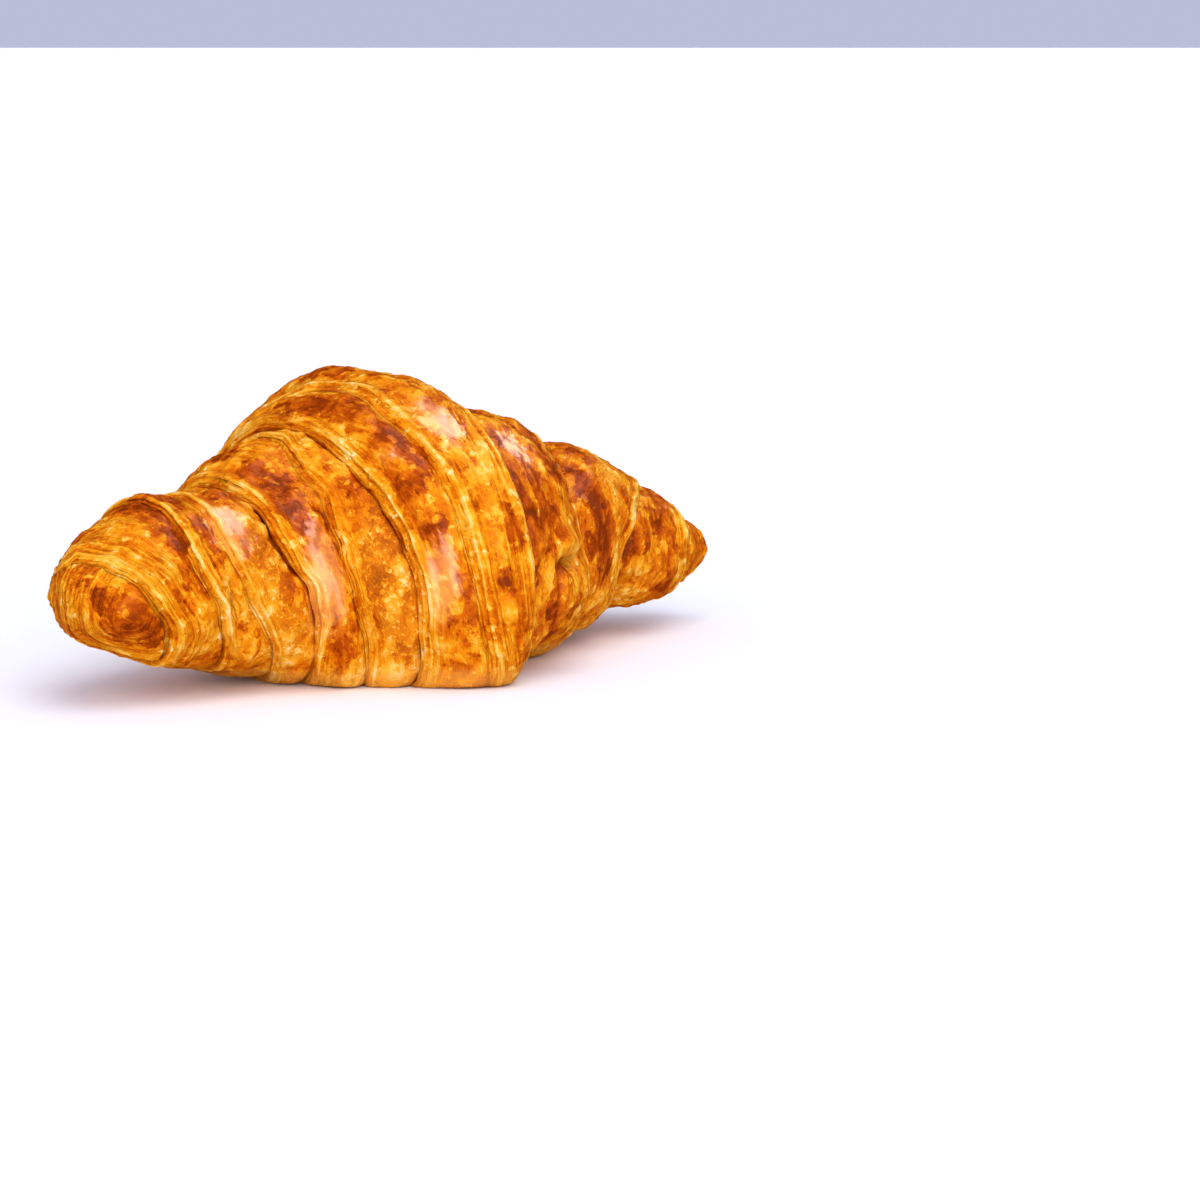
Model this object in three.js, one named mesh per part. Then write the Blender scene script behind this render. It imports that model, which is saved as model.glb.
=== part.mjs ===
// A baked croissant: a triangle of laminated dough rolled up from its wide side, so that it is fat
// in the middle, tapers in steps to a horn at each end, and lies on a flat baked underside.
// Millimetres, +Z up. The long axis runs along X and the horns bend slightly towards -Y, the front.
import * as THREE from 'three';

// Driving dimensions
const HALF_LENGTH = 75; // middle of the roll to the shoulder of each horn
const LEFT_TIP = -77; // where the blunt left horn ends
const RIGHT_TIP = 78; // where the slimmer right horn ends
const WIDTH_TO_HEIGHT = 1.17; // the dough sags wider than it is tall
const BEND_LEFT = 3.5; // how far the left horn swings to the front
const BEND_RIGHT = 6.5; // the same for the right horn
const CURL_LEFT = 7; // how much further the very end of the left horn turns to the front
const CURL_RIGHT = 2; // the same for the right horn
const WRAP_CROWN = 0.7; // how far a wrap bulges between its two edges
const DOME = 1.9; // 1 is a straight slope from a wrap's edge to its tuck; more is steep, then flat
const HOOD_DOME = 1.3; // the same for the wrap beside each horn
const BLUNTNESS = 0.45; // 1 is a pointed horn end; less is blunter
const LUMP = 0.5; // uneven proving of the dough
const EDGE_RUN = 0.5; // length along the roll that the drop at a wrap's free edge takes
const RING_POINTS = 48; // points round the roll
const WRAP_STEPS = 5; // spans along one wrap
const HORN_STEPS = [0, 0.25, 0.5, 0.7, 0.85, 0.95]; // rings from the last wrap to the tip

// Radius of the smooth roll along its axis: [position, radius]
const ROLL_RADIUS = smoothCurve([
  [-75, 5.8], [-69, 9], [-56, 14], [-42, 16], [-30, 19.8], [-20, 27], [-10, 34.8],
  [0, 35.5], [7, 27], [20, 25.2], [33, 20.2], [45, 14.5], [56, 13.6], [69, 7.8], [75, 4.5],
]);

// Height of the roll's axis above the surface it lies on: the horns hover, the middle rests
const AXIS_HEIGHT = smoothCurve([
  [-75, 18.8], [-56, 20.6], [-38, 19.5], [0, 18.9], [38, 19.5], [75, 15],
]);

// Free edges of the wraps from the left horn to the right one. `at` is where the edge crosses the
// underside, the front, the top and the back; `rise` is how far it stands above the smooth roll,
// `dip` how far the wrap below sinks at its foot, and `faces` the end of the roll it looks to.
const FREE_EDGES = [
  { at: [-60, -66, -73, -69], rise: 0.3, dip: 0.1, faces: -1 },
  { at: [-45.5, -55.5, -57, -55], rise: 0.4, dip: 0.2, faces: -1 },
  { at: [-32, -48.5, -50, -42], rise: 0.4, dip: 0.1, faces: -1 },
  { at: [-27, -37.5, -39.5, -35], rise: 1.2, dip: 1.2, faces: -1 },
  { at: [-17, -28.5, -25.5, -22], rise: 0.4, dip: 0.1, faces: -1 },
  { at: [-13, -19.5, -22.5, -17], rise: 1.6, dip: 1.4, faces: -1 },
  { at: [2, -11.5, -12.5, -13], rise: 0.4, dip: 0, faces: -1 },
  { at: [17, -1, 6, 6], rise: 1.1, dip: 0.8, faces: 1 },
  { at: [40, 27, 36, 37], rise: 1.1, dip: 0.9, faces: 1 },
  { at: [52, 46, 62, 54], rise: 0.9, dip: 0.7, faces: 1 },
  { at: [67, 68, 69, 67], rise: 0.7, dip: 0.5, faces: 1 },
];
const CRUST_COLOUR = 0xd9851f;

// A smooth curve through points in order: Hermite spans whose slopes come from the neighbours.
function smoothCurve(points) {
  const last = points.length - 1;
  const slopes = points.map((point, i) => {
    const before = points[Math.max(i - 1, 0)];
    const after = points[Math.min(i + 1, last)];
    return (after[1] - before[1]) / (after[0] - before[0]);
  });
  return (x) => {
    const clamped = THREE.MathUtils.clamp(x, points[0][0], points[last][0]);
    const found = points.findIndex((point) => point[0] >= clamped);
    const i = Math.max(found, 1);
    const [x0, y0] = points[i - 1];
    const [x1, y1] = points[i];
    const run = x1 - x0;
    const t = (clamped - x0) / run;
    const rise = (3 - 2 * t) * t * t;
    const leave = t * (1 - t) * (1 - t) * run * slopes[i - 1];
    const arrive = t * t * (1 - t) * run * slopes[i];
    return y0 + (y1 - y0) * rise + leave - arrive;
  };
}

// Value at an angle round the roll from its values underneath, in front, on top and behind.
function around([under, front, top, back], angle) {
  const mean = (under + front + top + back) / 4;
  const twist = (under - front + top - back) / 4;
  const upDown = (under - top) / 2;
  const frontBack = (front - back) / 2;
  return mean + upDown * Math.cos(angle) + frontBack * Math.sin(angle) + twist * Math.cos(2 * angle);
}

// A free edge where it crosses one angle: its position and the radius of the smooth roll there.
function edgeAt(edge, angle) {
  const x = around(edge.at, angle);
  return { ...edge, x, radius: ROLL_RADIUS(x) };
}

// Radius across one wrap; t runs from its own free edge to where it runs in under the next one.
function wrapRadius(t, own, next, dome) {
  const climb = (next.radius - own.radius) * (1 - Math.pow(1 - t, dome));
  const rim = own.rise * (1 - t) * (1 - t);
  const crown = WRAP_CROWN * Math.sin(Math.PI * Math.pow(t, 0.7));
  return own.radius + climb + rim + crown - next.dip * Math.pow(t, 5);
}

// The middle wrap has a free edge on both sides.
function middleRadius(t, x, left, right) {
  const rims = left.rise * (1 - t) * (1 - t) + right.rise * t * t;
  return ROLL_RADIUS(x) + rims + WRAP_CROWN * Math.sin(Math.PI * t);
}

// A point on the roll: the section is an ellipse square to the bent axis, cut flat underneath.
function rollPoint(x, smoothRadius, angle) {
  const broad = Math.sin(0.21 * x + 2 * angle);
  const fine = Math.sin(0.37 * x - 3 * angle + 1);
  const taper = THREE.MathUtils.clamp(smoothRadius / 10, 0, 1);
  const radius = smoothRadius + LUMP * (broad + 0.6 * fine) * taper;
  const bend = x < 0 ? BEND_LEFT : BEND_RIGHT;
  const share = THREE.MathUtils.clamp(x / HALF_LENGTH, -1, 1);
  const slope = (-2 * bend * share) / HALF_LENGTH;
  const front = new THREE.Vector2(slope, -1).normalize();
  const reach = Math.sin(angle) * radius * WIDTH_TO_HEIGHT;
  const height = Math.max(AXIS_HEIGHT(x) - Math.cos(angle) * radius, 0);
  return new THREE.Vector3(x + front.x * reach, -bend * share * share + front.y * reach, height);
}

function makeRing(pointAt) {
  const angles = Array.from({ length: RING_POINTS }, (_, i) => (2 * Math.PI * i) / RING_POINTS);
  return angles.map(pointAt);
}

// Rings of one wrap between two neighbouring free edges.
function wrapRings(leftEdge, rightEdge, dome) {
  const rings = [];
  for (let i = 0; i <= WRAP_STEPS; i += 1) {
    const t = i / WRAP_STEPS;
    rings.push(makeRing((angle) => {
      const left = edgeAt(leftEdge, angle);
      const right = edgeAt(rightEdge, angle);
      const x = THREE.MathUtils.lerp(left.x + EDGE_RUN / 2, right.x - EDGE_RUN / 2, t);
      if (left.faces < 0 && right.faces > 0) {
        return rollPoint(x, middleRadius(t, x, left, right), angle);
      }
      if (left.faces < 0) {
        return rollPoint(x, wrapRadius(t, left, right, dome), angle);
      }
      return rollPoint(x, wrapRadius(1 - t, right, left, dome), angle);
    }));
  }
  return rings;
}

// Rings of a horn end, from the foot of the last free edge out to the tip.
function hornRings(edge, tip, curl) {
  return HORN_STEPS.map((s) => makeRing((angle) => {
    const foot = edgeAt(edge, angle);
    const share = Math.sin((s * Math.PI) / 2);
    const x = THREE.MathUtils.lerp(foot.x + (edge.faces * EDGE_RUN) / 2, tip, share);
    const radius = (foot.radius - foot.dip) * Math.pow(1 - share, BLUNTNESS);
    const point = rollPoint(x, radius, angle);
    point.y -= curl * Math.pow(s, 1.5);
    return point;
  }));
}

function makeRings() {
  const last = FREE_EDGES.length - 1;
  const rings = hornRings(FREE_EDGES[0], LEFT_TIP, CURL_LEFT).reverse();
  for (let k = 0; k < last; k += 1) {
    const dome = k === 0 || k === last - 1 ? HOOD_DOME : DOME;
    rings.push(...wrapRings(FREE_EDGES[k], FREE_EDGES[k + 1], dome));
  }
  rings.push(...hornRings(FREE_EDGES[last], RIGHT_TIP, CURL_RIGHT));
  return rings;
}

// One closed skin over the rings, with a point at each tip.
function makeSkin(rings) {
  const positions = [];
  const indices = [];
  rings.forEach((ring) => ring.forEach((point) => positions.push(point.x, point.y, point.z)));
  const addTip = (ring, x) => {
    const centre = new THREE.Vector3();
    ring.forEach((point) => centre.addScaledVector(point, 1 / ring.length));
    positions.push(x, centre.y, centre.z);
  };
  const leftTip = positions.length / 3;
  const rightTip = leftTip + 1;
  addTip(rings[0], LEFT_TIP);
  addTip(rings[rings.length - 1], RIGHT_TIP);
  const lastRing = (rings.length - 1) * RING_POINTS;
  for (let i = 0; i < RING_POINTS; i += 1) {
    const next = (i + 1) % RING_POINTS;
    indices.push(leftTip, i, next);
    indices.push(rightTip, lastRing + next, lastRing + i);
    for (let k = 0; k < rings.length - 1; k += 1) {
      const a = k * RING_POINTS + i;
      const b = k * RING_POINTS + next;
      const c = a + RING_POINTS;
      const d = b + RING_POINTS;
      indices.push(a, c, b);
      indices.push(b, c, d);
    }
  }
  const skin = new THREE.BufferGeometry();
  skin.setAttribute('position', new THREE.Float32BufferAttribute(positions, 3));
  skin.setIndex(indices);
  return skin;
}

function makeCroissant() {
  const skin = makeSkin(makeRings());
  skin.computeBoundingBox();
  const { min, max } = skin.boundingBox;
  skin.translate(-(min.x + max.x) / 2, -(min.y + max.y) / 2, -min.z);
  skin.computeVertexNormals();
  const crust = new THREE.MeshStandardMaterial({
    color: CRUST_COLOUR,
    roughness: 0.45,
    metalness: 0,
  });
  const croissant = new THREE.Mesh(skin, crust);
  croissant.name = 'croissant';
  return croissant;
}

const part = new THREE.Group();
part.add(makeCroissant());

export default part;
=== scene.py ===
import bpy
import itertools
import math
import numpy as np
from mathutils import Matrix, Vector


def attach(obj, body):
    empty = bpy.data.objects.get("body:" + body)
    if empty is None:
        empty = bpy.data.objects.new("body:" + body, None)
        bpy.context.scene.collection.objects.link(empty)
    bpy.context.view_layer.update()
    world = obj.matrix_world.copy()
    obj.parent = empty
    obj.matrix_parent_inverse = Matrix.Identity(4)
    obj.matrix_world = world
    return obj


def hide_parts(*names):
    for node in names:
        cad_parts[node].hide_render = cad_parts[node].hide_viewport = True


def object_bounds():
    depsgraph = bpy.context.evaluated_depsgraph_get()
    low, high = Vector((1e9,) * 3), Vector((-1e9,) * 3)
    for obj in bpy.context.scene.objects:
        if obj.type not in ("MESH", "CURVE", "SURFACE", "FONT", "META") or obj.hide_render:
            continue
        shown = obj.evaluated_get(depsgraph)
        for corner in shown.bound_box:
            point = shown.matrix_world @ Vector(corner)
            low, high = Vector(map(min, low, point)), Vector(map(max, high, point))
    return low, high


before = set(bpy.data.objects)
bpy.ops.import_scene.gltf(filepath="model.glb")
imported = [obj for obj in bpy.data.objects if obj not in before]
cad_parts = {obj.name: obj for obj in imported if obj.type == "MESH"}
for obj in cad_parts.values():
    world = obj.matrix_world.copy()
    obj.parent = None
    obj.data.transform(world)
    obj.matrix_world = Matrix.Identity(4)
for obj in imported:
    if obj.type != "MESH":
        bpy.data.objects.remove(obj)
cadLow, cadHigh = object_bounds()

mm = 0.001  # the shapes below are worked out in millimetres and stored in metres

# What the roll looks like. Angles run round the roll: 0 underneath, 90 in front, 180 on top,
# 270 behind. x runs along the roll's axis from the middle, minus towards the blunt left horn.
roll = {
    "halfLength": 75.0,  # middle to the shoulder of each horn
    "tips": (-77.0, 78.0),  # where the horns end
    "widthToHeight": 1.17,  # the dough sags wider than it is tall
    "bendLeft": 3.5,  # how far the horns swing to the front
    "bendRight": 6.5,
    "curl": (7.0, 2.0),  # how far the very end of each horn turns to the front
    "hornEyes": ((-70, -18, 10), (77, -12, 14)),  # what the sheets at each horn curve round
    "eyeShape": (1, 1, 0.2),  # below 1 stretches those curves that way
    "rows": 206,  # points round the roll
    "topShare": 0.3,  # how much closer those points are on top than underneath
    "columnStep": 0.42,  # rough distance between points along the roll
    "edgeShare": 0.55,  # how much closer they are beside an edge than in the middle of a wrap
    "wallColumns": 6,  # columns down the drop at a free edge
    "hornColumns": 20,
    "tipReach": 0.05,  # how far past its horn the point that closes it stands
    "lipDepth": 0.7,  # how far behind its own edge a wrap's surface starts, which rounds the lip
    "wallBulge": 0.35,  # how far the drop at an edge swells
    "wallSheets": 3,  # sheets that show on that drop
    "wallSheetDepth": 0.16,  # how far they stand out
    "edgeWobble": (0.8, 0.35),  # slow and quick wandering of the free edges
    "unevenness": 0.35,  # share by which lips, dents and tucks differ along an edge
    "softFoot": 1.2,  # rounding where the sides meet the flat underside
    "crown": 0.7,  # how far a wrap bulges between its edges
    "crownRun": 12,  # wraps narrower than this bulge less
    "dome": 1.9,  # 1 is a straight slope from a wrap's edge to its tuck; more is steep, then flat
    "hoodDome": 1.3,  # the same for the wrap beside each horn
    "bluntness": 0.45,  # 1 is a pointed horn end; less is blunter
    "lump": 0.5,  # uneven proving of the dough
    "seed": 7,
    "radius": [
        (-75, 5.8), (-69, 9), (-56, 14), (-42, 16), (-30, 19.8), (-20, 27), (-10, 34.8),
        (0, 35.5), (7, 27), (20, 25.2), (33, 20.2), (45, 14.5), (56, 13.6), (69, 7.8), (75, 4.5),
    ],
    "axisHeight": [(-75, 18.8), (-56, 20.6), (-38, 19.5), (0, 18.9), (38, 19.5), (75, 15)],
}
hornTag = 50  # the number of the free edge beside a horn, plus this, marks the horn's columns
wallTag = -1  # marks the columns of the drop at a free edge

# Free edges of the wraps, left horn to right horn. Each tuple is underneath, front, top, back.
# faces: which horn the edge looks to; rise: its lip above the roll; dip: the dent at its foot;
# tuck: how far the wrap below runs in under it, or below 0 the run of a drop that only slopes;
# frill: width of the fanned sheets on it.
freeEdges = [
    {"at": (-60, -66, -73, -69), "faces": -1, "rise": (0.3, 0.35, 0.3, 0.4),
     "dip": (0.1, 0.1, 0.1, 0.1), "tuck": -0.4, "frill": 9.0},
    {"at": (-45.5, -55.5, -57, -55), "faces": -1, "rise": (0.4, 0.5, 0.35, 0.5),
     "dip": (0.3, 0.25, 0.1, 0.2), "tuck": -0.3, "frill": 2.4},
    {"at": (-32, -48.5, -50, -42), "faces": -1, "rise": (0.5, 0.35, 0.35, 0.5),
     "dip": (0.4, 0.0, 0.0, 0.2), "tuck": -0.8, "frill": 2.2},
    {"at": (-27, -37.5, -39.5, -35), "faces": -1, "rise": (0.8, 1.1, 1.4, 1.4),
     "dip": (0.9, 0.9, 1.4, 1.4), "tuck": 1.1, "frill": 2.2},
    {"at": (-17, -28.5, -25.5, -22), "faces": -1, "rise": (0.5, 0.4, 0.4, 0.5),
     "dip": (0.5, 0.0, 0.0, 0.2), "tuck": -0.8, "frill": 2.4},
    {"at": (-13, -19.5, -22.5, -17), "faces": -1, "rise": (1.0, 2.0, 1.6, 1.7),
     "dip": (1.0, 1.9, 1.2, 1.6), "tuck": 1.7, "frill": 3.0},
    {"at": (2, -11.5, -12.5, -13), "faces": -1, "rise": (0.3, 0.35, 0.35, 0.4),
     "dip": (0.2, 0.0, 0.0, 0.1), "tuck": -0.8, "frill": 3.4},
    {"at": (17, -1, 6, 6), "faces": 1, "rise": (0.6, 1.3, 1.2, 1.2),
     "dip": (0.6, 1.0, 0.7, 0.8), "tuck": 0.7, "frill": 4.2},
    {"at": (40, 27, 36, 37), "faces": 1, "rise": (0.6, 1.4, 1.1, 1.2),
     "dip": (0.6, 1.1, 0.8, 1.0), "tuck": 0.8, "frill": 3.8},
    {"at": (52, 46, 62, 54), "faces": 1, "rise": (0.5, 1.0, 0.9, 1.0),
     "dip": (0.5, 0.9, 0.7, 0.8), "tuck": 0.6, "frill": 4.0},
    {"at": (67, 68, 69, 67), "faces": 1, "rise": (0.4, 0.8, 0.7, 0.7),
     "dip": (0.4, 0.6, 0.5, 0.5), "tuck": 0.4, "frill": 3.0},
]

# Where the egg wash baked darkest: (x, angle, half width, half length, strength), all in mm but
# the angle and the strength
glazeSpots = [
    (-17.6, 175, 2.8, 4, 1.1), (-18.3, 189, 2.5, 4, 0.6), (-17.8, 154, 3, 6, 1.2),
    (-16.2, 135, 2.5, 6, 0.8), (-19, 120, 2, 5, 0.8), (-17.5, 111, 2, 5, 0.6), (-17, 78, 2, 6, 0.6),
    (-35, 148, 3.2, 4.5, 1.3), (-35.7, 126, 2.5, 4, 0.9), (-36, 114, 2, 4, 0.8),
    (-31, 65, 2.5, 4, 1.1), (-35, 168, 2, 3, 0.7), (-57, 205, 3, 8, 0.9), (-58.2, 183, 3, 6, 0.9),
    (-56, 160, 3, 5, 0.9), (-58, 131, 2.5, 5, 0.9), (-60, 100, 2, 5, 0.7), (-69.8, 78, 3.6, 8, 1.05),
    (-74, 104, 1.5, 4, 0.6), (-67, 60, 3.5, 4, 1.0), (-64, 50, 2, 4, 0.8), (-13, 88, 1.5, 6, 0.7),
    (-12.5, 68, 3, 4, 0.7), (-4, 84, 2, 5, 0.7), (-5, 110, 1.5, 5, 0.6), (-1, 124, 1.5, 5, 0.5),
    (4.5, 106, 2.5, 6, 0.9), (8.5, 117, 3, 6, 1.0), (9, 84, 3, 5, 0.6), (12, 103, 3, 5, 0.8),
    (13, 70, 4, 5, 0.6), (22, 180, 6, 12, 0.7), (36, 102, 3, 8, 1.2), (36.2, 117, 3, 5, 0.4),
    (50, 100, 3, 6, 0.6), (62, 140, 5, 8, 0.9),
]

# Blistered, matter crust beside the deep folds: the same five values
ochreSpots = [
    (-24, 108, 4, 10, 1.0), (-23, 84, 4, 10, 1.0), (-19, 60, 4, 9, 0.9), (-44, 97, 3.5, 9, 0.9),
    (-39, 58, 4, 8, 0.9), (-46, 122, 3, 6, 0.7), (43, 138, 5, 8, 0.9), (24, 70, 4, 8, 0.6),
]

# Places that baked little and stayed yellow: the same five values
paleSpots = [
    (-78, 90, 2.5, 12, 1.0), (-70, 128, 2.5, 3, 1.3), (-54, 56, 3, 6, 0.8), (-53, 84, 3, 8, 0.8),
    (-46, 66, 2.5, 6, 1.1), (-37, 44, 3, 3, 0.6), (-37, 158, 3, 5, 0.7), (-33, 56, 2, 4, 1.0),
    (-30, 47, 3, 4, 0.8), (-29, 112, 2, 5, 0.5), (-23, 46, 4, 4, 0.8), (-21.5, 59, 3, 4, 1.1),
    (-19, 137, 1.2, 2, 1.4), (-10, 56, 4, 6, 0.4), (-9, 165, 4, 8, 0.7), (-8.4, 72, 1.2, 1.5, 1.6),
    (-6, 84, 4, 12, -1.2), (-5, 97, 3, 8, 0.5), (-5, 127, 3, 7, 0.8), (-1, 71, 4, 9, 0.2),
    (5, 92, 2, 4, 0.7), (16, 98, 5, 1.2, 1.2), (17, 84, 4, 2.2, 1.3), (38, 128, 2, 7, 0.9),
    (39, 105, 1.5, 6, 0.7), (45, 140, 4, 8, 0.7), (50, 119, 3, 6, 0.9),
]

# Where the egg wash pooled into a smooth film, which also lightens the colour there as a painted
# highlight: the same five values
glossSpots = [
    (-48.8, 132, 3.5, 6, 1.0), (-34, 97, 3.2, 10, 1.5), (-19, 140, 1.5, 4, 0.5),
    (-17.3, 94, 1.8, 8, 1.2), (-7.8, 144, 3.2, 6, 1.1), (8.4, 134, 3, 4, 0.9),
]

# Swellings of the dough, and dents where the height is below 0: (x, angle, half width,
# half length, height), all in mm but the angle
swellings = [
    (19, 82, 6, 4.5, 2.0), (15, 94, 5, 1.7, -2.8), (17, 100, 7, 2.0, 1.2), (10, 90, 1.0, 3, -1.0),
    (20, 76, 5, 1.2, -0.9), (-51.5, 84, 0.5, 3, -0.9), (-50.8, 78, 0.5, 2.5, -0.9),
    (-21, 42, 4, 6, 1.4), (-30, 50, 4, 6, 0.9), (-9, 40, 5, 6, 1.0), (-46, 46, 4, 6, 0.8),
    (-60, 48, 4, 5, 0.7), (-10.2, 116, 0.8, 1.2, -1.2), (-12.6, 110, 0.6, 1.3, -0.9),
    (-8.4, 72, 1.1, 1.3, 0.9), (-19, 137, 1.0, 1.6, 0.6), (-66, 112, 1.0, 1.2, 0.6),
]

# The crust close up, in mm. bake is a scale from 0, pale and dry, to 1, nearly burnt.
skin = {
    "sheetStep": 1.3,  # between the ridges that the thinner sheets leave
    "thickSheets": 2.3,  # how many times wider the thicker ones are
    "rimWidth": 1.0,  # the rounded bead along a free edge
    # size of each pattern: one number, or along the roll, front to back and up
    "sizes": {"patch": (5, 7, 7), "smallPatch": 2.4, "ochre": 9, "pale": 10, "flake": (3.6, 7, 7),
              "smallFlake": (1.7, 3, 3), "bubble": 4.2, "smallBubble": 2.1, "wrinkle": (3.2, 5, 5),
              "bulge": 17, "bake": (3, 4, 4)},
    # how high each feature stands
    "rises": {"ridge": 0.34, "thickRidge": 0.26, "rim": 0.4, "bubble": 0.9, "smallBubble": 0.6,
              "wrinkle": 0.4, "glaze": 0.16, "flake": 0.22, "smallFlake": 0.16, "bulge": 0.9},
    # what adds up to the browned egg wash, to the same on the horns, and to the blistered crust
    "glazes": {"mean": 0.08, "spots": 0.62, "patch": 0.75, "smallPatch": 0.2, "top": 0.12,
               "edge": -0.5, "foot": -0.15, "dry": -0.3},
    "hornGlazes": {"mean": -0.15, "spots": 0.75, "patches": 0.4},
    "ochres": {"spots": 0.8, "uneven": 0.3, "fold": 0.4, "edge": -0.5},
    # the mean bake, the bake of the blistered crust, and how far each feature moves it
    "meanBake": 0.695,
    "ochreBake": 0.56,
    "bakes": {"ends": 0.02, "horn": -0.06, "uneven": 0.2, "flake": -0.12, "smallFlake": -0.1,
              "striae": -0.16, "pale": -0.18, "ridge": -0.24, "thickRidge": -0.16,
              "bubble": -0.54, "smallBubble": -0.48, "lip": -0.15},
    "mostBubbleBake": 0.3,  # a bubble moves it no further than this
}


def smoothCurve(points, x):
    # Hermite spans: y0 + (y1 - y0) t^2 (3 - 2t) + run (s0 t (1 - t)^2 - s1 t^2 (1 - t))
    px, py = np.array(points, float).T
    slope = np.gradient(py)
    slope[1:-1] = (py[2:] - py[:-2]) / (px[2:] - px[:-2])
    slope[0] = (py[1] - py[0]) / (px[1] - px[0])
    slope[-1] = (py[-1] - py[-2]) / (px[-1] - px[-2])
    x = np.clip(x, px[0], px[-1])
    i = np.clip(np.searchsorted(px, x), 1, len(px) - 1)
    run = px[i] - px[i - 1]
    t = (x - px[i - 1]) / run
    rise = (py[i] - py[i - 1]) * t * t * (3 - 2 * t)
    return py[i - 1] + rise + run * (slope[i - 1] * t * (1 - t) ** 2 - slope[i] * t * t * (1 - t))


def aroundRoll(values, angle):
    # mean + (under - top)/2 cos a + (front - back)/2 sin a + twist cos 2a: passes through all four
    under, front, top, back = values
    mean = (under + front + top + back) / 4
    twist = (under - front + top - back) / 4
    wave = (under - top) / 2 * np.cos(angle) + (front - back) / 2 * np.sin(angle)
    return mean + wave + twist * np.cos(2 * angle)


def smoothStep(low, high, value):
    # t^2 (3 - 2t), with t from 0 at low to 1 at high
    t = np.clip((value - low) / (high - low), 0, 1)
    return t * t * (3 - 2 * t)


def cellValue(cell, seed):
    # a repeatable number from 0 to 1 for every whole-numbered cell: the cell's three numbers times
    # large odd ones, added up and stirred by shifts and products
    h = cell[..., 0] * 374761393 + cell[..., 1] * 668265263 + cell[..., 2] * 2246822519
    h = (h + seed * 3266489917) & 0xFFFFFFFF
    h = ((h ^ (h >> 13)) * 1274126177) & 0xFFFFFFFF
    h = ((h ^ (h >> 15)) * 2654435761) & 0xFFFFFFFF
    return ((h ^ (h >> 16)) & 0xFFFFFF) / 0xFFFFFF


def noise(points, seed):
    # values at cell corners, blended by 6t^5 - 15t^4 + 10t^3; runs from -1 to 1
    cell = np.floor(points).astype(np.int64)
    t = points - cell
    t = t * t * t * (t * (t * 6 - 15) + 10)
    total = np.zeros(points.shape[:-1])
    for corner in itertools.product((0, 1), repeat=3):
        corner = np.array(corner)
        weight = np.prod(np.where(corner == 1, t, 1 - t), axis=-1)
        total += weight * cellValue(cell + corner, seed)
    return total * 2 - 1


def layered(points, seed, octaves):
    # sum of noise(2^k p) / 2^k
    total = 0
    for k in range(octaves):
        total = total + noise(points * 2**k, seed + k) / 2**k
    return total / (2 - 2 ** (1 - octaves))


def blisters(points, seed, share):
    # bumps (1 - d^2/r^2)^2 round one random point in each cell; share of the cells has one
    cell = np.floor(points).astype(np.int64)
    height = np.zeros(points.shape[:-1])
    for step in itertools.product((-1, 0, 1), repeat=3):
        near = cell + np.array(step)
        spot = np.stack([cellValue(near, seed + k) for k in (1, 2, 3)], axis=-1)
        radius = 0.3 + 0.45 * cellValue(near, seed + 4)
        gap = np.sum((points - near - 0.15 - 0.7 * spot) ** 2, axis=-1)
        bump = np.clip(1 - gap / radius**2, 0, 1) ** 2 * radius
        height = np.maximum(height, np.where(cellValue(near, seed + 5) < share, bump, 0))
    return height


def stack(*parts):
    return np.stack(np.broadcast_arrays(*parts), axis=-1)


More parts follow.
